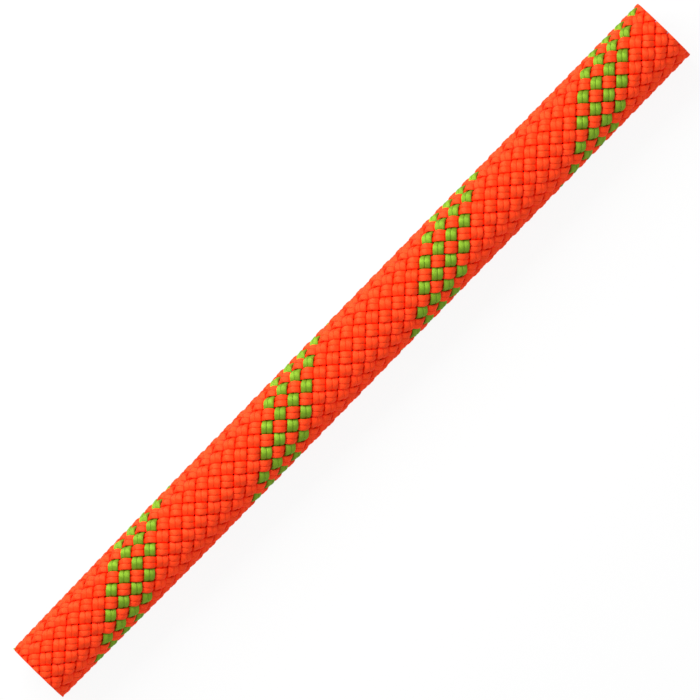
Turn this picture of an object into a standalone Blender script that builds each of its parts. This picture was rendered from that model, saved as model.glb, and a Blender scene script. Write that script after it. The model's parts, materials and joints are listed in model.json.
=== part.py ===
"""A cut sample of dynamic climbing rope: a two-colour braided sheath over a bundle of core strands.

Metres, +Z up. The rope lies along X on the plane z = 0, with the origin under the middle of the sample.
"""

import math

import bmesh
import bpy

OBJECT_NAME = "dynamic_climbing_rope"

# Driving dimensions of the rope
ROPE_DIAMETER = 0.0100  # over the crowns of the sheath
SAMPLE_LENGTH = 0.1247  # between the two square cuts
FLAT_DEPTH = 0.0003  # how far the underside is pressed flat where the rope lies

# The sheath is braided over one, under one from two families of strands that wind opposite ways
STRANDS_PER_FAMILY = 12
TRACER_COUNT = 4  # neighbouring left-laid strands in the second colour
LEFT_LAY = 0.03141  # the length of rope in which a left-laid strand goes once round
RIGHT_LAY = 0.03199
FIRST_CROSSING_X = -0.0474  # a place where the first left-laid strand crosses over the first right-laid one
FIRST_CROSSING_ANGLE = math.radians(-8.9)  # from the top of the rope towards -Y
STRAND_THICKNESS = 0.00060
STRAND_FILL = 0.92  # a strand's width, as a share of the room between its neighbours
WEAVE_SWING = 0.00036  # how far a strand swings out and in from the middle of the sheath

# The core is a ring of strands round three more, with a marker yarn beside them under the sheath
CORE_STRAND_DIAMETER = 0.00170
OUTER_CORE_COUNT = 9
OUTER_CORE_RADIUS = 0.00273  # from the rope's axis to a strand's axis
INNER_CORE_COUNT = 3
INNER_CORE_RADIUS = 0.00101
MARKER_DIAMETER = 0.00050
MARKER_RADIUS = 0.00330

# Sizes that follow from these
MIDDLE_RADIUS = ROPE_DIAMETER / 2 - WEAVE_SWING - STRAND_THICKNESS / 2
AXIS_HEIGHT = ROPE_DIAMETER / 2 - FLAT_DEPTH
STRAND_ANGLE = 2 * math.pi / STRANDS_PER_FAMILY
LEFT_RATE = 2 * math.pi / LEFT_LAY
RIGHT_RATE = 2 * math.pi / RIGHT_LAY
CROSSING_STEP = STRAND_ANGLE / (LEFT_RATE + RIGHT_RATE)  # along the rope from a crossing to the next
FIRST_RING = math.floor((-SAMPLE_LENGTH / 2 - FIRST_CROSSING_X) / CROSSING_STEP) - 1
LAST_RING = math.ceil((SAMPLE_LENGTH / 2 - FIRST_CROSSING_X) / CROSSING_STEP) + 1

# Linear colours of the nylon yarns, with their roughness
ORANGE = (1.0, 0.058, 0.008)
LIME = (0.18, 0.36, 0.016)
UNDYED = (0.80, 0.79, 0.75)
MARKER_BLUE = (0.02, 0.09, 0.42)
YARN_ROUGHNESS = 0.55


def clear_scene():
    for old in list(bpy.data.objects):
        bpy.data.objects.remove(old, do_unlink=True)


def nylon(name, colour):
    material = bpy.data.materials.new(name)
    material.use_nodes = True
    shader = material.node_tree.nodes["Principled BSDF"]
    shader.inputs["Base Color"].default_value = (*colour, 1.0)
    shader.inputs["Roughness"].default_value = YARN_ROUGHNESS
    shader.inputs["Metallic"].default_value = 0.0
    material.diffuse_color = (*colour, 1.0)
    return material


def add_group(name, collection):
    """An empty on the rope's axis that carries one body's pieces."""
    group = bpy.data.objects.new(name, None)
    group.location.z = AXIS_HEIGHT
    collection.objects.link(group)
    return group


def add_piece(name, data, material, group, collection):
    data.materials.append(material)
    piece = bpy.data.objects.new(name, data)
    piece.parent = group
    collection.objects.link(piece)
    return piece


def weave_point(left, right, radius):
    """The point at a place in the weave, told in strands of the left and the right family, from the axis."""
    x = FIRST_CROSSING_X + CROSSING_STEP * (left - right)
    share = (left * RIGHT_RATE + right * LEFT_RATE) / (LEFT_RATE + RIGHT_RATE)
    angle = FIRST_CROSSING_ANGLE + STRAND_ANGLE * share
    height = max(radius * math.cos(angle), -AXIS_HEIGHT)
    return x, -radius * math.sin(angle), height


def straight_strand():
    """A bar of diamond section, two wide and two thick, with a ring of corners for each crossing along Z."""
    bar = bmesh.new()
    steps = LAST_RING - FIRST_RING
    bmesh.ops.create_cone(bar, cap_ends=True, segments=4, radius1=1, radius2=1, depth=steps)
    long_edges = [edge for edge in bar.edges if edge.calc_length() > steps / 2]
    bmesh.ops.subdivide_edges(bar, edges=long_edges, cuts=steps - 1)
    bmesh.ops.translate(bar, verts=bar.verts, vec=(0, 0, (FIRST_RING + LAST_RING) / 2))
    return bar


def cut_square(bar, end):
    """Cut a strand square to the rope at one end of the sample, and close the cut."""
    cut = bmesh.ops.bisect_plane(
        bar,
        geom=[*bar.verts, *bar.edges, *bar.faces],
        plane_co=(end * SAMPLE_LENGTH / 2, 0, 0),
        plane_no=(end, 0, 0),
        clear_outer=True,
    )
    rim = [part for part in cut["geom_cut"] if isinstance(part, bmesh.types.BMEdge)]
    bmesh.ops.edgeloop_fill(bar, edges=rim)


def sheath_strand(name, index, left_laid):
    """One strand of the braid: left-laid strands pass over at the even crossings, right-laid at the odd."""
    bar = straight_strand()
    for corner in bar.verts:
        side, lift, along = corner.co
        ring = round(along)
        across = index + side * STRAND_FILL / 2
        over = (ring % 2 == 0) == left_laid
        radius = MIDDLE_RADIUS + (WEAVE_SWING if over else -WEAVE_SWING) + lift * STRAND_THICKNESS / 2
        if left_laid:
            corner.co = weave_point(across, index - ring, radius)
        else:
            corner.co = weave_point(index + ring, across, radius)
    cut_square(bar, -1)
    cut_square(bar, 1)
    bmesh.ops.recalc_face_normals(bar, faces=bar.faces)
    mesh = bpy.data.meshes.new(name)
    bar.to_mesh(mesh)
    bar.free()
    mesh.shade_smooth()
    mesh.set_sharp_from_angle(angle=math.radians(60))
    return mesh


def straight_tube(name, diameter):
    """A round strand as long as the sample, along X, with flat ends."""
    curve = bpy.data.curves.new(name, "CURVE")
    curve.dimensions = "3D"
    curve.bevel_depth = diameter / 2
    curve.bevel_resolution = 3
    curve.use_fill_caps = True
    line = curve.splines.new("POLY")
    line.points.add(1)
    line.points[0].co = (-SAMPLE_LENGTH / 2, 0, 0, 1)
    line.points[1].co = (SAMPLE_LENGTH / 2, 0, 0, 1)
    return curve


def round_the_axis(piece, radius, angle):
    piece.location = (0, -radius * math.sin(angle), radius * math.cos(angle))


def build_sheath(collection):
    group = add_group("sheath", collection)
    orange = nylon("orange_nylon_yarn", ORANGE)
    lime = nylon("lime_nylon_yarn", LIME)
    for index in range(STRANDS_PER_FAMILY):
        tracer = index < TRACER_COUNT
        name = f"tracer_strand_{index + 1}" if tracer else f"left_strand_{index + 1}"
        left = sheath_strand(name, index, left_laid=True)
        add_piece(name, left, lime if tracer else orange, group, collection)
    for index in range(STRANDS_PER_FAMILY):
        name = f"right_strand_{index + 1}"
        right = sheath_strand(name, index, left_laid=False)
        add_piece(name, right, orange, group, collection)


def build_core(collection):
    group = add_group("core", collection)
    undyed = nylon("undyed_nylon_core", UNDYED)
    blue = nylon("blue_marker_yarn", MARKER_BLUE)
    outer_step = 2 * math.pi / OUTER_CORE_COUNT
    inner_step = 2 * math.pi / INNER_CORE_COUNT
    places = [(OUTER_CORE_RADIUS, outer_step * number) for number in range(OUTER_CORE_COUNT)]
    places += [(INNER_CORE_RADIUS, outer_step / 2 + inner_step * number) for number in range(INNER_CORE_COUNT)]
    for number, place in enumerate(places, start=1):
        name = f"core_strand_{number}"
        strand = add_piece(name, straight_tube(name, CORE_STRAND_DIAMETER), undyed, group, collection)
        round_the_axis(strand, *place)
    marker = add_piece("marker_yarn", straight_tube("marker_yarn", MARKER_DIAMETER), blue, group, collection)
    round_the_axis(marker, MARKER_RADIUS, outer_step / 2)


def main():
    clear_scene()
    collection = bpy.data.collections.new(OBJECT_NAME)
    bpy.context.scene.collection.children.link(collection)
    build_sheath(collection)
    build_core(collection)


main()
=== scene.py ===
"""The finished look of a cut sample of dynamic climbing rope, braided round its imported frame.

Metres, +Z up. The rope lies along X on the plane z = 0, with the origin under the middle of the sample.
"""

import json
import math

import bmesh
import bpy
from bpy.props import FloatProperty, FloatVectorProperty, PointerProperty
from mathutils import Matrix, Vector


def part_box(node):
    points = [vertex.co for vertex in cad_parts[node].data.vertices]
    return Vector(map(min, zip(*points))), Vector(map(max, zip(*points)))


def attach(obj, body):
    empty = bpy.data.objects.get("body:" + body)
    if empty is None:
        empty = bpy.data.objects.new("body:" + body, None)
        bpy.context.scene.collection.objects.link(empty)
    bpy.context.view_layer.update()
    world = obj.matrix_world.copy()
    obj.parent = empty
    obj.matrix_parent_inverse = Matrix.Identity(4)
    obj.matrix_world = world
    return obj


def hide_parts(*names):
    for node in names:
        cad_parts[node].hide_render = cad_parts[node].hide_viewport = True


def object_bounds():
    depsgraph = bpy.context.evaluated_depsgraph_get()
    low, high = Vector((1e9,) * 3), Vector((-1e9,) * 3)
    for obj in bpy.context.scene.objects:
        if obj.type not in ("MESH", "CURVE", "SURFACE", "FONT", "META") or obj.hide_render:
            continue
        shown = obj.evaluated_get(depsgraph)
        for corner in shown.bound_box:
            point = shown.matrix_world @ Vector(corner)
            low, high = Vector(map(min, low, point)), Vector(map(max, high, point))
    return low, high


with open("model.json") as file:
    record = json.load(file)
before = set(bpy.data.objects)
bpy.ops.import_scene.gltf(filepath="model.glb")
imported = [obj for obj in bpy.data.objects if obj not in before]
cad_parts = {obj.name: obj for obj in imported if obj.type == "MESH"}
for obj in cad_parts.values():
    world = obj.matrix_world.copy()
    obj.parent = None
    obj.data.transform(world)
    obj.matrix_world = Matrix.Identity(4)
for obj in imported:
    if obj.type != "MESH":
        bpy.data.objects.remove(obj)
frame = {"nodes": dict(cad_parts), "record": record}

bl_info = {
    "name": "Climbing rope sample",
    "version": (1, 0, 0),
    "blender": (4, 5, 0),
    "location": "3D View > Sidebar > Rope",
    "description": "Braids the sheath of a cut rope sample over its twisted core",
    "category": "Object",
}

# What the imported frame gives
CAD_LOW, CAD_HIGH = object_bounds()
CORE_LOW, CORE_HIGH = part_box("core_strand_1")
MARKER_LOW, MARKER_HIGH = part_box("marker_yarn")
LEFT_FAMILY = ("tracer_strand_", "left_strand_")
RIGHT_FAMILY = ("right_strand_",)
STRANDS_PER_FAMILY = sum(name.startswith(RIGHT_FAMILY) for name in frame["nodes"])

# How finely the yarns are drawn
SHEATH_SIDES = 16
SHEATH_RINGS_PER_CROSSING = 11
CORE_SIDES = 24
CORE_RINGS_PER_PITCH = 18
SPARE_CROSSINGS = 1.2  # how far a strand of the sheath is grown past each end before it is cut
SPARE_LENGTH = 0.001  # the same for a strand of the core, in metres
SEAM_GAP = 1e-6  # points nearer than this are joined where a skin closes

# The pair of yarns in a strand of the sheath, in widths of a strand's room
PRESSED_FLAT = 0.004  # how far each yarn's flat stays from the middle of the pair
PINCH_RANGE = (0.1, 0.6)  # how far a yarn has dived where it begins to narrow, and where it ends
STRAYS_PER_CROSSING = 0.45
STRAND_SEED = 20  # how far apart two strands are in the noise that they stray by
YARN_SEED = 10  # and the two yarns of a strand, in the noise of their filaments

# The plies of a strand of the core
CORE_PLIES = 3
CREASE = 2.0  # the higher, the narrower the groove between two plies
CROWDING = 0.5  # how far the points round a strand are drawn to its grooves
CORE_SEED = 90  # how far apart two strands are in the noise of their filaments

# The map and the attributes that each yarn keeps for its finish
UV_NAME = "OFBake"
SHEATH_ROWS = 6  # rows that a yarn's skin is cut into on its map
CORE_ROWS = 5
ROW_ENDS = (0.01, 0.99)  # how much of the map's width a row takes up
ROW_EDGES = (0.03, 0.97)  # how much of its own height
CAP_STRIP = 0.045  # the share of the map that is kept for the cut ends
CAP_REACH = 0.45  # how far a cut end reaches from the middle of its square in that strip
FILAMENT = "filament"  # a skin point's place in its own yarn: across, across and along, in metres
SIDE = "side"  # which of a strand's two yarns a point belongs to
DIVE = "dive"  # how far a point has gone from the top of its float, 0, to the lowest place, 1

# The look of nylon yarn
NYLON_IOR = 1.53
FILAMENT_ROUND = 0.6  # radius of the round that filaments lie on, as a share of a sheath yarn's thickness
SHEATH_STREAK = (0.00018, 0.00004)  # how wide and how high a filament streak is drawn
CORE_STREAK = (0.00012, 0.00004)
MARKER_STREAK = (0.00009, 0.00003)
STREAK_LENGTH = 14  # in widths of the streak
STREAK_WEIGHT = 0.6  # of the streaks in the tone, beside the patches
STREAK_RELIEF = 0.6
PATCH_SIZE = 0.0015  # of the slower changes of tone
TONE = (0.45, 1.15, 0.82, 1.14)  # a range of the noise, and the brightness at its two ends
GLOSS = (0.25, 0.75, 0.42, 0.54)  # a range of the noise, and the roughness at its two ends
CREVICE_SHADE_POWER = (0.32, 0.64, 1, 1.65)  # a range of the dive, and the power that the dye is raised to: painted shade where a yarn dives under
FULL_SHEEN = 1.0  # the sheen is stretched as far as it goes
QUARTER_TURN = 0.25  # the sheen lies across the filaments, a quarter of a turn from the map's own direction
COLOURED_SHEEN = 0.4
WHITE_SHEEN = 0.42
SHEEN_WHITENESS = 0.6  # how much white the white sheen has for each share of dye

# The stage
WHITE = "FFFFFF"
CARD_WHITE = "EFEFEF"
CARD_GLARE = 0.9  # how much of the card is plain white to the camera
SIGHT = 10  # how far the camera sees, in its heights over the rope

MATH = "ShaderNodeMath"


def to_linear(code):
    """A six-digit sRGB hex colour as linear red, green and blue."""
    parts = [int(code[place:place + 2], 16) / 255 for place in (0, 2, 4)]
    return [part / 12.92 if part <= 0.04045 else ((part + 0.055) / 1.055) ** 2.4 for part in parts]


def length_property(name, description, default):
    return FloatProperty(name=name, description=description, default=default, unit="LENGTH", precision=5)


def share_property(name, description, default):
    return FloatProperty(name=name, description=description, default=default, min=0, max=1, subtype="FACTOR")


def angle_property(name, description, degrees):
    return FloatProperty(name=name, description=description, default=math.radians(degrees), subtype="ANGLE")


def colour_property(name, description, code):
    return FloatVectorProperty(
        name=name,
        description=description,
        default=to_linear(code),
        min=0,
        max=1,
        subtype="COLOR",
    )


class RopeSizes(bpy.types.PropertyGroup):
    length: length_property("Length", "Between the two square cuts", CAD_HIGH.x - CAD_LOW.x)
    diameter: length_property("Diameter", "Over the crowns of the sheath", CAD_HIGH.y - CAD_LOW.y)
    fullness: length_property("Fullness", "How far the crowns stand out past that diameter", 0.00012)
    left_lay: length_property("Left lay", "Rope in which a left-laid strand goes once round", 0.03141)
    right_lay: length_property("Right lay", "Rope in which a right-laid strand goes once round", 0.03199)
    crossing_x: length_property("Crossing", "Where the first strands of both families cross", -0.0474)
    crossing_angle: angle_property("Crossing angle", "From the top towards -Y, at that crossing", -8.9)
    taper: share_property("Taper", "Thickness at the -X end, as a share of the diameter", 0.947)
    taper_length: length_property("Taper length", "How far the narrower end reaches", 0.0284)
    gather: length_property("Gather", "How far the weave is pushed in from the -X end", 0.00053)
    gather_start: length_property("Gather start", "Where the whole push is reached", -0.0528)
    gather_end: length_property("Gather end", "Where the push begins", -0.0236)
    flat_start: length_property("Flat start", "Depth under the axis where the underside flattens", 0.0035)


class YarnSizes(bpy.types.PropertyGroup):
    swing: length_property("Swing", "How far a strand swings out and in as it weaves", 0.00040)
    thickness: length_property("Thickness", "Of a yarn, from the sheath's inside to its outside", 0.00058)
    width: share_property("Width", "Of a yarn before it is pressed, as a share of a strand's room", 0.57)
    spacing: share_property("Spacing", "Between a strand's two yarns, in the same measure", 0.37)
    tracer_width: share_property("Tracer width", "Of a tracer strand, as a share of the others' width", 0.92)
    squareness: share_property("Squareness", "How far a yarn is pressed from round towards square", 0.12)
    twist: FloatProperty(name="Twist", description="Turns of a yarn between two crossings", default=0.25)
    pinch: share_property("Pinch", "Width where a yarn dives under, as a share of its width on top", 0.93)
    wander: share_property("Wander", "How far a yarn strays, in the measure of its width", 0.06)


class CoreSizes(bpy.types.PropertyGroup):
    diameter: length_property("Diameter", "Of a packed core strand", CORE_HIGH.y - CORE_LOW.y)
    pitch: length_property("Pitch", "Strand in which the three plies go once round", 0.0085)
    groove: share_property("Groove", "Depth between the plies, as a share of the radius", 0.22)
    fill: FloatProperty(name="Fill", description="Thickness over the plies, by the packed one", default=1.05)
    marker_diameter: length_property("Marker diameter", "Of the marker yarn", MARKER_HIGH.y - MARKER_LOW.y)
    marker_pitch: length_property("Marker pitch", "Marker yarn in which its plies go once round", 0.0022)


class YarnColours(bpy.types.PropertyGroup):
    orange: colour_property("Orange", "Dye of most of the sheath", "FF4415")
    lime: colour_property("Lime", "Dye of the tracer strands", "769D22")
    undyed: colour_property("Undyed", "Natural white of the core", "EDEBE4")
    blue: colour_property("Blue", "Dye of the marker yarn", "2457AE")


class StageSettings(bpy.types.PropertyGroup):
    rope_angle: angle_property("Rope angle", "Of the rope above the picture's horizontal", 45.81)
    camera_height: length_property("Camera height", "Over the rope's axis", 2.70)
    camera_side: length_property("Camera side", "Of the camera from over the axis, towards +Y", 0.00020)
    lens: FloatProperty(name="Lens", description="Focal length in millimetres", default=1000, min=1)
    key_power: FloatProperty(name="Key power", description="Of the soft lamp", default=0.37, subtype="POWER")
    key_angle: angle_property("Key angle", "Of the soft lamp above the floor", 38)
    key_side: angle_property("Key side", "Of the soft lamp from the picture's right, anticlockwise", 136)
    key_distance: length_property("Key distance", "Of the soft lamp from the rope", 0.14)
    key_length: length_property("Key length", "Of the soft lamp, along the rope", 0.20)
    key_width: length_property("Key width", "Of the soft lamp, the other way", 0.11)
    fill: FloatProperty(name="Fill", description="Strength of the even light all round", default=0.68, min=0)
    floor_size: length_property("Floor size", "Of a side of the floor", 8.0)


def add_node(tree, kind, inputs=(), **settings):
    """Add a node with these settings, feed its inputs by order or by name, and return its first output."""
    node = tree.nodes.new(kind)
    for name, value in settings.items():
        setattr(node, name, value)
    open_inputs = [socket for socket in node.inputs if socket.enabled]
    pairs = inputs.items() if isinstance(inputs, dict) else zip(open_inputs, inputs)
    for place, value in pairs:
        socket = node.inputs[place] if isinstance(place, str) else place
        if isinstance(value, bpy.types.NodeSocket):
            tree.links.new(value, socket)
        else:
            socket.default_value = value
    return next((socket for socket in node.outputs if socket.enabled), node)


# Node trees that grow the yarns

ROPE_INPUTS = ("Taper start", "Taper length", "Taper", "Flat start", "Flat share", "Axis height", "Material")


def new_tree(name, inputs):
    """An empty geometry tree, and the sockets that give its named inputs."""
    tree = bpy.data.node_groups.new(name, "GeometryNodeTree")
    for label in inputs:
        kind = "NodeSocketMaterial" if label == "Material" else "NodeSocketFloat"
        tree.interface.new_socket(label, in_out="INPUT", socket_type=kind)
    tree.interface.new_socket("Geometry", in_out="OUTPUT", socket_type="NodeSocketGeometry")
    return tree, tree.nodes.new("NodeGroupInput").outputs


def skin_shares(tree):
    """How far along and around its yarn a point of a skin is, while the skin is still a flat sheet."""
    place = add_node(tree, "ShaderNodeSeparateXYZ", (add_node(tree, "GeometryNodeInputPosition"),)).node
    along = add_node(tree, MATH, (place.outputs["X"], 0.5), operation="ADD")
    around = add_node(tree, MATH, (place.outputs["Y"], 0.5), operation="ADD")
    return along, around


def flat_skin(tree, shares, sides, rings, rows, yarn=0, yarns=1):
    """A flat sheet for one yarn's skin, of the yarns that share a map.

    The map is cut into rows, so that long yarns fill a square."""
    along, around = shares
    sheet = add_node(tree, "GeometryNodeMeshGrid", (1, 1, rings, sides + 1))
    run = add_node(tree, MATH, (along, rows), operation="MULTIPLY")
    row = add_node(tree, MATH, (run,), operation="FLOOR")
    row = add_node(tree, "GeometryNodeFieldOnDomain", (row,), domain="FACE", data_type="FLOAT")
    across = add_node(tree, MATH, (run, row), operation="SUBTRACT")
    across = add_node(tree, "ShaderNodeMapRange", (across, 0, 1, *ROW_ENDS))
    height = add_node(tree, "ShaderNodeMapRange", (around, 0, 1, *ROW_EDGES))
    height = add_node(tree, MATH, (height, row), operation="ADD")
    height = add_node(tree, MATH, (height, yarn * rows), operation="ADD")
    height = add_node(tree, MATH, (height, (1 - CAP_STRIP) / (yarns * rows)), operation="MULTIPLY")
    spot = add_node(tree, "ShaderNodeCombineXYZ", (across, height))
    named = {"Geometry": sheet, "Name": UV_NAME, "Value": spot}
    return add_node(tree, "GeometryNodeStoreNamedAttribute", named, data_type="FLOAT2", domain="CORNER")


def pair_of_skins(tree, shares, rings):
    """Flat sheets for the two yarns of a sheath strand, each marked with the side that it lies on."""
    skins = tree.nodes.new("GeometryNodeJoinGeometry")
    for yarn, side in enumerate((-0.5, 0.5)):
        skin = flat_skin(tree, shares, SHEATH_SIDES, rings, SHEATH_ROWS, yarn, yarns=2)
        named = {"Geometry": skin, "Name": SIDE, "Value": side}
        skin = add_node(tree, "GeometryNodeStoreNamedAttribute", named, data_type="FLOAT", domain="POINT")
        tree.links.new(skin, skins.inputs[0])
    return skins.outputs[0]


def round_place(tree, angle, radius):
    """The two sides of a place at an angle and a distance from an axis."""
    cosine = add_node(tree, MATH, (angle,), operation="COSINE")
    sine = add_node(tree, MATH, (angle,), operation="SINE")
    first = add_node(tree, MATH, (cosine, radius), operation="MULTIPLY")
    second = add_node(tree, MATH, (sine, radius), operation="MULTIPLY")
    return first, second


def ply_lobes(tree, skin_angle, groove):
    """How far the skin stands out at an angle, as a share of the radius, with a groove between two plies."""
    arch = add_node(tree, MATH, (skin_angle, CORE_PLIES / 2), operation="MULTIPLY")
    arch = add_node(tree, MATH, (arch,), operation="SINE")
    arch = add_node(tree, MATH, (arch,), operation="ABSOLUTE")
    valley = add_node(tree, MATH, (1, arch), operation="SUBTRACT")
    valley = add_node(tree, MATH, (valley, CREASE), operation="POWER")
    valley = add_node(tree, MATH, (valley, groove), operation="MULTIPLY")
    return add_node(tree, MATH, (1, valley), operation="SUBTRACT")


def crowded_angle(tree, around):
    """The angle of a skin point round its strand, with the points crowded towards the grooves."""
    even = add_node(tree, MATH, (around, 2 * math.pi), operation="MULTIPLY")
    pull = add_node(tree, MATH, (even, CORE_PLIES), operation="MULTIPLY")
    pull = add_node(tree, MATH, (pull,), operation="SINE")
    return add_node(tree, MATH, (pull, -CROWDING / CORE_PLIES, even), operation="MULTIPLY_ADD")


def pressed_section(tree, given, angle, dive, side):
    """How far a skin point lies across its strand, and above the strand's middle."""
    cosine = add_node(tree, MATH, (angle,), operation="COSINE")
    sine = add_node(tree, MATH, (angle,), operation="SINE")
    corner = add_node(tree, MATH, (cosine, sine), operation="MULTIPLY")
    corner = add_node(tree, MATH, (corner, given["Squareness"]), operation="MULTIPLY")
    square_cosine = add_node(tree, MATH, (corner, sine, cosine), operation="MULTIPLY_ADD")
    square_sine = add_node(tree, MATH, (corner, cosine, sine), operation="MULTIPLY_ADD")

    # A yarn is narrower where it dives under
    half_width = add_node(tree, MATH, (given["Width"], 0.5), operation="MULTIPLY")
    pinch = (dive, *PINCH_RANGE, 1, given["Pinch"])
    pinch = add_node(tree, "ShaderNodeMapRange", pinch, interpolation_type="SMOOTHSTEP")
    half_width = add_node(tree, MATH, (half_width, pinch), operation="MULTIPLY")
    half_thickness = add_node(tree, MATH, (given["Thickness"], 0.5), operation="MULTIPLY")
    across = add_node(tree, MATH, (square_cosine, half_width), operation="MULTIPLY")
    across = add_node(tree, MATH, (side, given["Spacing"], across), operation="MULTIPLY_ADD")
    lift = add_node(tree, MATH, (square_sine, half_thickness), operation="MULTIPLY")

    # The two yarns press each other flat where they meet
    outward = add_node(tree, MATH, (side, 2), operation="MULTIPLY")
    pressed = add_node(tree, MATH, (across, outward), operation="MULTIPLY")
    pressed = add_node(tree, MATH, (pressed, PRESSED_FLAT), operation="MAXIMUM")
    across = add_node(tree, MATH, (pressed, outward), operation="MULTIPLY")
    return across, lift


def weave_place(tree, given, crossing, across, radius):
    """A place in the weave, told in crossings along and strands across, as x, y and z from the axis."""
    signed_across = add_node(tree, MATH, (across, given["Hand"]), operation="MULTIPLY")
    x = add_node(tree, MATH, (crossing, signed_across), operation="SUBTRACT")
    x = add_node(tree, MATH, (x, given["Crossing step"], given["Crossing X"]), operation="MULTIPLY_ADD")
    push = (x, given["Gather start"], given["Gather end"], given["Gather"], 0)
    push = add_node(tree, "ShaderNodeMapRange", push, interpolation_type="SMOOTHSTEP")
    x = add_node(tree, MATH, (x, push), operation="ADD")
    turn = add_node(tree, MATH, (crossing, given["Hand"]), operation="MULTIPLY")
    turn = add_node(tree, MATH, (turn, across), operation="SUBTRACT")
    turn = add_node(tree, MATH, (turn, given["Turn share"], across), operation="MULTIPLY_ADD")
    turn = add_node(tree, MATH, (turn, given["Strand"]), operation="ADD")
    turn = (turn, given["Strand angle"], given["Crossing angle"])
    turn = add_node(tree, MATH, turn, operation="MULTIPLY_ADD")
    z, sideways = round_place(tree, turn, radius)
    y = add_node(tree, MATH, (sideways, -1), operation="MULTIPLY")
    return x, y, z


def lay_in_rope(tree, given, x, y, z):
    """A point, told from the rope's axis, with the narrower end and the flat underside worked in."""
    taper_end = add_node(tree, MATH, (given["Taper start"], given["Taper length"]), operation="ADD")
    narrow = (x, given["Taper start"], taper_end, given["Taper"], 1)
    narrow = add_node(tree, "ShaderNodeMapRange", narrow)
    y = add_node(tree, MATH, (y, narrow), operation="MULTIPLY")
    z = add_node(tree, MATH, (z, narrow), operation="MULTIPLY")
    sunk = add_node(tree, MATH, (z, given["Flat start"]), operation="ADD")
    sunk = add_node(tree, MATH, (sunk, 0), operation="MINIMUM")
    raised = add_node(tree, MATH, (sunk, given["Flat share"]), operation="MULTIPLY")
    z = add_node(tree, MATH, (z, raised), operation="SUBTRACT")
    z = add_node(tree, MATH, (z, given["Axis height"]), operation="ADD")
    return add_node(tree, "ShaderNodeCombineXYZ", (x, y, z))


def finish_yarns(tree, given, skins, filament, point):
    """Keep each skin point's place in its yarn, roll the skins up, close the seams and give the finish."""
    named = {"Geometry": skins, "Name": FILAMENT, "Value": filament}
    skins = add_node(tree, "GeometryNodeStoreNamedAttribute", named, data_type="FLOAT_VECTOR", domain="POINT")
    yarns = add_node(tree, "GeometryNodeSetPosition", {"Geometry": skins, "Position": point})
    yarns = add_node(tree, "GeometryNodeMergeByDistance", {"Geometry": yarns, "Distance": SEAM_GAP})
    yarns = add_node(tree, "GeometryNodeSetShadeSmooth", {"Geometry": yarns, "Shade Smooth": True})
    yarns = add_node(tree, "GeometryNodeRealizeInstances", (yarns,))
    yarns = add_node(tree, "GeometryNodeSetMaterial", {"Geometry": yarns, "Material": given["Material"]})
    tree.links.new(yarns, tree.nodes.new("NodeGroupOutput").inputs[0])


def braided_strand_tree(rings):
    """A strand of the sheath: a flat pair of smooth yarns, wound round the rope and woven over and under.

    Places in the weave are told in crossings along the strand and in strands across it."""
    labels = (
        "Strand", "Hand", "Turn share", "First", "Last", "Crossing X", "Crossing step", "Crossing angle",
        "Strand angle", "Middle radius", "Swing", "Width", "Spacing", "Thickness", "Squareness", "Twist",
        "Pinch", "Wander", "Yarn step", "Gather", "Gather start", "Gather end",
    )
    tree, given = new_tree("Braided strand", labels + ROPE_INPUTS)
    along, around = skin_shares(tree)
    skins = pair_of_skins(tree, (along, around), rings)
    side = add_node(tree, "GeometryNodeInputNamedAttribute", {"Name": SIDE}, data_type="FLOAT")
    crossing = add_node(tree, "ShaderNodeMapRange", (along, 0, 1, given["First"], given["Last"]))

    # How far a place on the strand has gone under
    wave = add_node(tree, MATH, (crossing, math.pi), operation="MULTIPLY")
    wave = add_node(tree, MATH, (wave,), operation="COSINE")
    wave = add_node(tree, MATH, (wave, given["Hand"]), operation="MULTIPLY")
    dive = add_node(tree, MATH, (wave, 0.5, 0.5), operation="MULTIPLY_ADD")
    named = {"Geometry": skins, "Name": DIVE, "Value": dive}
    skins = add_node(tree, "GeometryNodeStoreNamedAttribute", named, data_type="FLOAT", domain="POINT")

    # The section, turned by the yarn's twist
    skin_angle = add_node(tree, MATH, (around, 2 * math.pi), operation="MULTIPLY")
    turned = add_node(tree, MATH, (crossing, given["Hand"]), operation="MULTIPLY")
    turned = add_node(tree, MATH, (turned, given["Twist"], skin_angle), operation="MULTIPLY_ADD")
    across, lift = pressed_section(tree, given, turned, dive, side)

    # Each strand strays a little of its own accord
    seed = add_node(tree, MATH, (given["Strand"], given["Hand"]), operation="MULTIPLY")
    seed = add_node(tree, MATH, (seed, STRAND_SEED, crossing), operation="MULTIPLY_ADD")
    noise = {"W": seed, "Scale": STRAYS_PER_CROSSING, "Detail": 1}
    stray = add_node(tree, "ShaderNodeTexNoise", noise, noise_dimensions="1D")
    stray = add_node(tree, MATH, (stray, 0.5), operation="SUBTRACT")
    across = add_node(tree, MATH, (stray, given["Wander"], across), operation="MULTIPLY_ADD")

    # Out over one strand of the other family, and in under the next
    swing = add_node(tree, MATH, (wave, given["Swing"]), operation="MULTIPLY")
    radius = add_node(tree, MATH, (given["Middle radius"], swing), operation="SUBTRACT")
    radius = add_node(tree, MATH, (radius, lift), operation="ADD")
    point = lay_in_rope(tree, given, *weave_place(tree, given, crossing, across, radius))

    # The filaments run along the yarn, each yarn with its own
    yarn_radius = add_node(tree, MATH, (given["Thickness"], FILAMENT_ROUND), operation="MULTIPLY")
    yarn_seed = add_node(tree, MATH, (side, YARN_SEED, seed), operation="MULTIPLY_ADD")
    run = add_node(tree, MATH, (yarn_seed, given["Yarn step"]), operation="MULTIPLY")
    filament = add_node(tree, "ShaderNodeCombineXYZ", (*round_place(tree, skin_angle, yarn_radius), run))
    finish_yarns(tree, given, skins, filament, point)
    return tree


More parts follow.
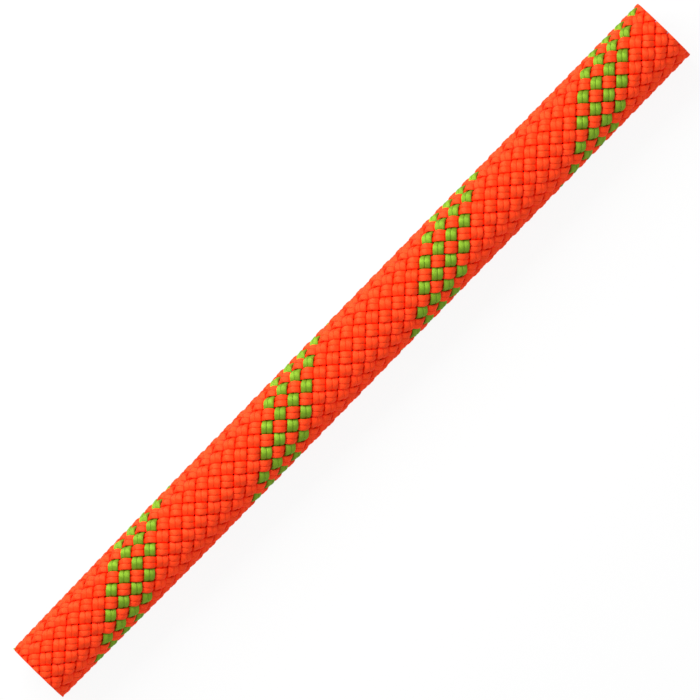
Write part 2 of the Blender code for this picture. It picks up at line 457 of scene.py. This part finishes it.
def twisted_strand_tree(rings):
    """A strand of the core: three plies twisted together, straight along the rope."""
    labels = ("Length", "Diameter", "Pitch", "Hand", "Groove", "Y", "Z", "Seed")
    tree, given = new_tree("Twisted strand", labels + ROPE_INPUTS)
    along, around = skin_shares(tree)
    skin = flat_skin(tree, (along, around), CORE_SIDES, rings, CORE_ROWS)
    x = add_node(tree, MATH, (along, 0.5), operation="SUBTRACT")
    x = add_node(tree, MATH, (x, given["Length"]), operation="MULTIPLY")
    skin_angle = crowded_angle(tree, around)
    lobes = ply_lobes(tree, skin_angle, given["Groove"])
    radius = add_node(tree, MATH, (given["Diameter"], 0.5), operation="MULTIPLY")
    reach = add_node(tree, MATH, (radius, lobes), operation="MULTIPLY")
    turns = add_node(tree, MATH, (x, given["Pitch"]), operation="DIVIDE")
    turns = add_node(tree, MATH, (turns, given["Hand"]), operation="MULTIPLY")
    turned = add_node(tree, MATH, (turns, 2 * math.pi, skin_angle), operation="MULTIPLY_ADD")
    y, z = round_place(tree, turned, reach)
    y = add_node(tree, MATH, (y, given["Y"]), operation="ADD")
    z = add_node(tree, MATH, (z, given["Z"]), operation="ADD")
    run = add_node(tree, MATH, (x, given["Seed"]), operation="ADD")
    filament = add_node(tree, "ShaderNodeCombineXYZ", (*round_place(tree, skin_angle, reach), run))
    finish_yarns(tree, given, skin, filament, lay_in_rope(tree, given, x, y, z))
    return tree


def whole_rows(rings, rows):
    """About this many rings, so that each row of a yarn's map has as many steps."""
    return rows * round(rings / rows) + 1


def grow(name, tree, values):
    """Run a tree with these values, and return the plain mesh that it makes, with one finish all over."""
    maker = bpy.data.objects.new(name, bpy.data.meshes.new(name))
    bpy.context.scene.collection.objects.link(maker)
    modifier = maker.modifiers.new(tree.name, "NODES")
    modifier.node_group = tree
    for socket in tree.interface.items_tree:
        if socket.in_out == "INPUT":
            modifier[socket.identifier] = values[socket.name]
    graph = bpy.context.evaluated_depsgraph_get()
    grown = maker.evaluated_get(graph)
    mesh = bpy.data.meshes.new_from_object(grown, preserve_all_data_layers=True, depsgraph=graph)
    bpy.data.objects.remove(maker)
    mesh.materials.clear()
    mesh.materials.append(values["Material"])
    mesh.polygons.foreach_set("material_index", [0] * len(mesh.polygons))
    return mesh


def cut_square(mesh, length):
    """Cut a yarn square to the rope at both ends of the sample, and close the cuts."""
    part = bmesh.new()
    part.from_mesh(mesh)
    caps = []
    for end in (-1, 1):
        everything = [*part.verts, *part.edges, *part.faces]
        plane = {"plane_co": (end * length / 2, 0, 0), "plane_no": (end, 0, 0)}
        cut = bmesh.ops.bisect_plane(part, geom=everything, clear_outer=True, **plane)
        rim = [item for item in cut["geom_cut"] if isinstance(item, bmesh.types.BMEdge)]
        caps += bmesh.ops.edgeloop_fill(part, edges=rim)["faces"]
    map_layer = part.loops.layers.uv[UV_NAME]
    for number, cap in enumerate(caps):
        cap.smooth = False
        middle = cap.calc_center_median()
        reach = max((corner.co - middle).length for corner in cap.verts)
        for loop in cap.loops:
            offset = (loop.vert.co - middle) / reach * CAP_REACH * CAP_STRIP
            loop[map_layer].uv = ((number + 0.5) * CAP_STRIP + offset.y, 1 - 0.5 * CAP_STRIP + offset.z)
    bmesh.ops.recalc_face_normals(part, faces=part.faces)
    part.to_mesh(mesh)
    part.free()


def add_piece(name, mesh, body):
    """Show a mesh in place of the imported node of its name."""
    piece = bpy.data.objects.new(f"{name}_yarn", mesh)
    bpy.context.scene.collection.objects.link(piece)
    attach(piece, body)
    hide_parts(name)
    return piece


# Finishes


def nylon_yarn(name, colour, streak_width, streak_height):
    """Polyamide multifilament, spun smooth and twisted: a satin skin with fine streaks along the filaments.

    Real filaments are about 0.03 mm thick, so they are drawn coarser to show."""
    material = bpy.data.materials.new(name)
    material.use_nodes = True
    tree = material.node_tree
    shader = tree.nodes["Principled BSDF"]
    place = add_node(tree, "ShaderNodeAttribute", attribute_name=FILAMENT).node.outputs["Vector"]
    stretched = add_node(tree, "ShaderNodeMapping", {"Vector": place, "Scale": (1, 1, 1 / STREAK_LENGTH)})
    noise = {"Vector": stretched, "Scale": 1 / streak_width, "Detail": 2}
    streaks = add_node(tree, "ShaderNodeTexNoise", noise)
    noise = {"Vector": place, "Scale": 1 / PATCH_SIZE, "Detail": 1}
    patches = add_node(tree, "ShaderNodeTexNoise", noise)
    tone = add_node(tree, MATH, (streaks, STREAK_WEIGHT, patches), operation="MULTIPLY_ADD")
    tone = add_node(tree, "ShaderNodeMapRange", (tone, *TONE))

    # Painted shade: the dye is raised to a higher power where a yarn dives under its neighbour, so the
    # crevices between the floats look darker and deeper in colour
    dive = add_node(tree, "ShaderNodeAttribute", attribute_name=DIVE).node.outputs["Fac"]
    painted_shade = add_node(tree, "ShaderNodeMapRange", (dive, *CREVICE_SHADE_POWER), interpolation_type="SMOOTHSTEP")
    dye = (*colour, 1)
    shade = add_node(tree, "ShaderNodeMix", (1, dye, tone), data_type="RGBA", blend_type="MULTIPLY")
    shade = add_node(tree, "ShaderNodeGamma", (shade, painted_shade))
    tree.links.new(shade, shader.inputs["Base Color"])
    gloss = add_node(tree, "ShaderNodeMapRange", (streaks, *GLOSS))
    tree.links.new(gloss, shader.inputs["Roughness"])
    relief = {"Height": streaks, "Strength": STREAK_RELIEF, "Distance": streak_height}
    relief = add_node(tree, "ShaderNodeBump", relief)
    tree.links.new(relief, shader.inputs["Normal"])

    # Light glances off the filaments in a band across them. Part of it comes back through the clear filaments
    # in the colour of their dye, and the metallic share stands for that part.
    tangent = add_node(tree, "ShaderNodeTangent", direction_type="UV_MAP", uv_map=UV_NAME)
    tree.links.new(tangent, shader.inputs["Tangent"])
    shader.inputs["Anisotropic"].default_value = FULL_SHEEN
    shader.inputs["Anisotropic Rotation"].default_value = QUARTER_TURN
    shader.inputs["Metallic"].default_value = COLOURED_SHEEN
    shader.inputs["IOR"].default_value = NYLON_IOR
    shader.inputs["Specular IOR Level"].default_value = WHITE_SHEEN
    tint = [(part + SHEEN_WHITENESS) / (1 + SHEEN_WHITENESS) for part in dye]
    shader.inputs["Specular Tint"].default_value = tint
    return material


def shown_rays(tree):
    """1 for a ray that shows a surface, straight or in a reflection, and 0 for one that only lights."""
    rays = tree.nodes.new("ShaderNodeLightPath").outputs
    shown = add_node(tree, MATH, (rays["Is Camera Ray"], rays["Is Glossy Ray"]), operation="MAXIMUM")
    return add_node(tree, MATH, (shown, rays["Is Transmission Ray"]), operation="MAXIMUM")


def floor_finish():
    """Matt white card, which stays white to the camera and keeps a soft shadow."""
    material = bpy.data.materials.new("white_card")
    material.use_nodes = True
    tree = material.node_tree
    tree.nodes.clear()
    glare = add_node(tree, MATH, (shown_rays(tree), CARD_GLARE), operation="MULTIPLY")
    card = add_node(tree, "ShaderNodeBsdfDiffuse", {"Color": (*to_linear(CARD_WHITE), 1)})
    white = add_node(tree, "ShaderNodeEmission", {"Color": (*to_linear(WHITE), 1), "Strength": 1.0})
    both = add_node(tree, "ShaderNodeMixShader", (glare, card, white))
    add_node(tree, "ShaderNodeOutputMaterial", {"Surface": both})
    return material


def white_world(fill):
    """Even white light from all round, with a white backdrop for the camera."""
    world = bpy.data.worlds.new("white_room")
    world.use_nodes = True
    tree = world.node_tree
    tree.nodes.clear()
    strength = {"Value": shown_rays(tree), "To Min": fill, "To Max": 1}
    strength = add_node(tree, "ShaderNodeMapRange", strength)
    light = add_node(tree, "ShaderNodeBackground", {"Color": (*to_linear(WHITE), 1), "Strength": strength})
    add_node(tree, "ShaderNodeOutputWorld", {"Surface": light})
    return world


# Values that follow from the sizes


def rope_values(scene):
    """The inputs that every yarn of the rope shares."""
    rope = scene.rope_sizes
    axis_height = CAD_HIGH.z - rope.diameter / 2
    crown = rope.diameter / 2 + rope.fullness
    pressed = crown - axis_height
    return {
        "Taper start": -rope.length / 2,
        "Taper length": rope.taper_length,
        "Taper": rope.taper,
        "Flat start": rope.flat_start,
        "Flat share": pressed / (crown - rope.flat_start),
        "Axis height": axis_height,
    }


def sheath_values(scene):
    """The inputs that every strand of the sheath shares, and how fast each family turns along the rope."""
    rope = scene.rope_sizes
    yarn = scene.yarn_sizes
    rates = {-1: 2 * math.pi / rope.left_lay, 1: 2 * math.pi / rope.right_lay}
    strand_angle = 2 * math.pi / STRANDS_PER_FAMILY
    step = strand_angle / sum(rates.values())
    middle = rope.diameter / 2 + rope.fullness - yarn.swing - yarn.thickness / 2
    yarn_step = math.hypot(step, middle * strand_angle / 2)
    values = {
        "First": (-rope.length / 2 - rope.crossing_x) / step - SPARE_CROSSINGS,
        "Last": (rope.length / 2 - rope.crossing_x) / step + SPARE_CROSSINGS,
        "Crossing X": rope.crossing_x,
        "Crossing step": step,
        "Crossing angle": rope.crossing_angle,
        "Strand angle": strand_angle,
        "Middle radius": middle,
        "Swing": yarn.swing,
        "Width": yarn.width,
        "Spacing": yarn.spacing,
        "Thickness": yarn.thickness,
        "Squareness": yarn.squareness,
        "Twist": 2 * math.pi * yarn.twist,
        "Pinch": yarn.pinch,
        "Wander": yarn.wander,
        "Yarn step": yarn_step,
        "Gather": rope.gather,
        "Gather start": rope.gather_start,
        "Gather end": rope.gather_end,
        **rope_values(scene),
    }
    return values, rates


def place_in_family(name):
    """A strand's number in its family, from 0."""
    return int(name.rsplit("_", 1)[1]) - 1


def node_slot(name):
    """The material slot that the record gives a node."""
    return next(part["material_slot"] for part in frame["record"]["subparts"] if part["node"] == name)


class ROPE_OT_set_stage(bpy.types.Operator):
    """Set the camera straight over the rope, with a soft lamp, even light and a white floor"""

    bl_idname = "rope.set_stage"
    bl_label = "Set stage"

    def execute(self, context):
        scene = context.scene
        stage = scene.rope_stage
        axis_height = CAD_HIGH.z - scene.rope_sizes.diameter / 2
        camera = bpy.data.objects.new("camera", bpy.data.cameras.new("camera"))
        camera.data.lens = stage.lens
        camera.data.clip_end = SIGHT * stage.camera_height
        camera.location = (0, stage.camera_side, axis_height + stage.camera_height)
        camera.rotation_euler = (0, 0, -stage.rope_angle)
        scene.collection.objects.link(camera)
        scene.camera = camera

        key = bpy.data.objects.new("key_lamp", bpy.data.lights.new("key_lamp", "AREA"))
        key.data.energy = stage.key_power
        key.data.shape = "RECTANGLE"
        key.data.size = stage.key_length
        key.data.size_y = stage.key_width
        height = stage.key_distance * math.sin(stage.key_angle)
        reach = stage.key_distance * math.cos(stage.key_angle)
        side = stage.key_side - stage.rope_angle
        key.location = (reach * math.cos(side), reach * math.sin(side), axis_height + height)
        key.rotation_euler = (math.pi / 2 - stage.key_angle, 0, side + math.pi / 2)
        key.visible_camera = False
        scene.collection.objects.link(key)

        scene.world = white_world(stage.fill)
        bpy.ops.mesh.primitive_plane_add(size=stage.floor_size)
        floor = context.object
        floor.name = "floor"
        floor.data.materials.append(floor_finish())
        scene.view_settings.view_transform = "Standard"
        return {"FINISHED"}


class ROPE_OT_braid_sheath(bpy.types.Operator):
    """Braid the strands of the sheath, each a flat pair of smooth nylon yarns"""

    bl_idname = "rope.braid_sheath"
    bl_label = "Braid sheath"

    def execute(self, context):
        scene = context.scene
        dyes = scene.yarn_colours
        finishes = {
            "orange_yarn": nylon_yarn("dyed_orange_nylon", dyes.orange, *SHEATH_STREAK),
            "lime_yarn": nylon_yarn("dyed_lime_nylon", dyes.lime, *SHEATH_STREAK),
        }
        shared, rates = sheath_values(scene)
        crossings = shared["Last"] - shared["First"]
        tree = braided_strand_tree(whole_rows(crossings * SHEATH_RINGS_PER_CROSSING, SHEATH_ROWS))
        strands = []
        for name in sorted(frame["nodes"]):
            if not name.startswith(LEFT_FAMILY + RIGHT_FAMILY):
                continue
            hand = 1 if name.startswith(RIGHT_FAMILY) else -1
            slot = node_slot(name)
            own = {
                "Strand": place_in_family(name),
                "Hand": hand,
                "Turn share": rates[hand] / sum(rates.values()),
                "Material": finishes[slot],
            }
            if slot == "lime_yarn":
                own["Width"] = shared["Width"] * scene.yarn_sizes.tracer_width
                own["Spacing"] = shared["Spacing"] * scene.yarn_sizes.tracer_width
            mesh = grow(name, tree, shared | own)
            cut_square(mesh, scene.rope_sizes.length)
            strands.append(add_piece(name, mesh, "sheath"))
        self.declare_rope(scene.rope_sizes, shared["Axis height"], strands)
        return {"FINISHED"}

    def declare_rope(self, rope, axis_height, strands):
        """Takes the rope's sizes, its axis height and its strands, and does nothing with them."""


class ROPE_OT_lay_core(bpy.types.Operator):
    """Lay the twisted strands of the core, half of them with each twist"""

    bl_idname = "rope.lay_core"
    bl_label = "Lay core"

    def execute(self, context):
        scene = context.scene
        core = scene.core_sizes
        undyed = nylon_yarn("undyed_nylon", scene.yarn_colours.undyed, *CORE_STREAK)
        length = scene.rope_sizes.length + 2 * SPARE_LENGTH
        tree = twisted_strand_tree(whole_rows(length / core.pitch * CORE_RINGS_PER_PITCH, CORE_ROWS))
        for name in sorted(frame["nodes"]):
            if not name.startswith("core_strand_"):
                continue
            values = {
                "Diameter": core.diameter * core.fill,
                "Pitch": core.pitch,
                "Hand": 1 if place_in_family(name) % 2 else -1,
                "Groove": core.groove,
                "Material": undyed,
            }
            lay_straight(scene, name, tree, length, values)
        return {"FINISHED"}


class ROPE_OT_lay_marker(bpy.types.Operator):
    """Lay the thin marker yarn beside the core strands"""

    bl_idname = "rope.lay_marker"
    bl_label = "Lay marker yarn"

    def execute(self, context):
        scene = context.scene
        core = scene.core_sizes
        blue = nylon_yarn("dyed_blue_nylon", scene.yarn_colours.blue, *MARKER_STREAK)
        length = scene.rope_sizes.length + 2 * SPARE_LENGTH
        tree = twisted_strand_tree(whole_rows(length / core.marker_pitch * CORE_RINGS_PER_PITCH, CORE_ROWS))
        values = {
            "Diameter": core.marker_diameter,
            "Pitch": core.marker_pitch,
            "Hand": 1,
            "Groove": core.groove,
            "Material": blue,
        }
        lay_straight(scene, "marker_yarn", tree, length, values)
        return {"FINISHED"}


def lay_straight(scene, name, tree, length, values):
    """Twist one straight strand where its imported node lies."""
    low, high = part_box(name)
    shared = rope_values(scene)
    middle = (low + high) / 2
    own = {
        "Length": length,
        "Y": middle.y,
        "Z": middle.z - shared["Axis height"],
        "Seed": middle.y * CORE_SEED,
    }
    mesh = grow(name, tree, shared | own | values)
    cut_square(mesh, scene.rope_sizes.length)
    add_piece(name, mesh, "core")


SETTINGS = {
    "rope_sizes": RopeSizes,
    "yarn_sizes": YarnSizes,
    "core_sizes": CoreSizes,
    "yarn_colours": YarnColours,
    "rope_stage": StageSettings,
}
STEPS = (ROPE_OT_set_stage, ROPE_OT_braid_sheath, ROPE_OT_lay_core, ROPE_OT_lay_marker)


class ROPE_PT_sample(bpy.types.Panel):
    """The rope's sizes and colours, and the steps that make it"""

    bl_idname = "ROPE_PT_sample"
    bl_label = "Climbing rope sample"
    bl_space_type = "VIEW_3D"
    bl_region_type = "UI"
    bl_category = "Rope"

    def draw(self, context):
        for setting, group in SETTINGS.items():
            box = self.layout.box()
            for name in group.__annotations__:
                box.prop(getattr(context.scene, setting), name)
        for step in STEPS:
            self.layout.operator(step.bl_idname)


def register():
    for group in SETTINGS.values():
        bpy.utils.register_class(group)
    for setting, group in SETTINGS.items():
        setattr(bpy.types.Scene, setting, PointerProperty(type=group))
    for step in (*STEPS, ROPE_PT_sample):
        bpy.utils.register_class(step)


def unregister():
    for step in (*STEPS, ROPE_PT_sample):
        bpy.utils.unregister_class(step)
    for setting, group in SETTINGS.items():
        delattr(bpy.types.Scene, setting)
        bpy.utils.unregister_class(group)


def main():
    register()
    bpy.ops.rope.set_stage()
    bpy.ops.rope.braid_sheath()
    bpy.ops.rope.lay_core()
    bpy.ops.rope.lay_marker()


if __name__ == "__main__":
    main()
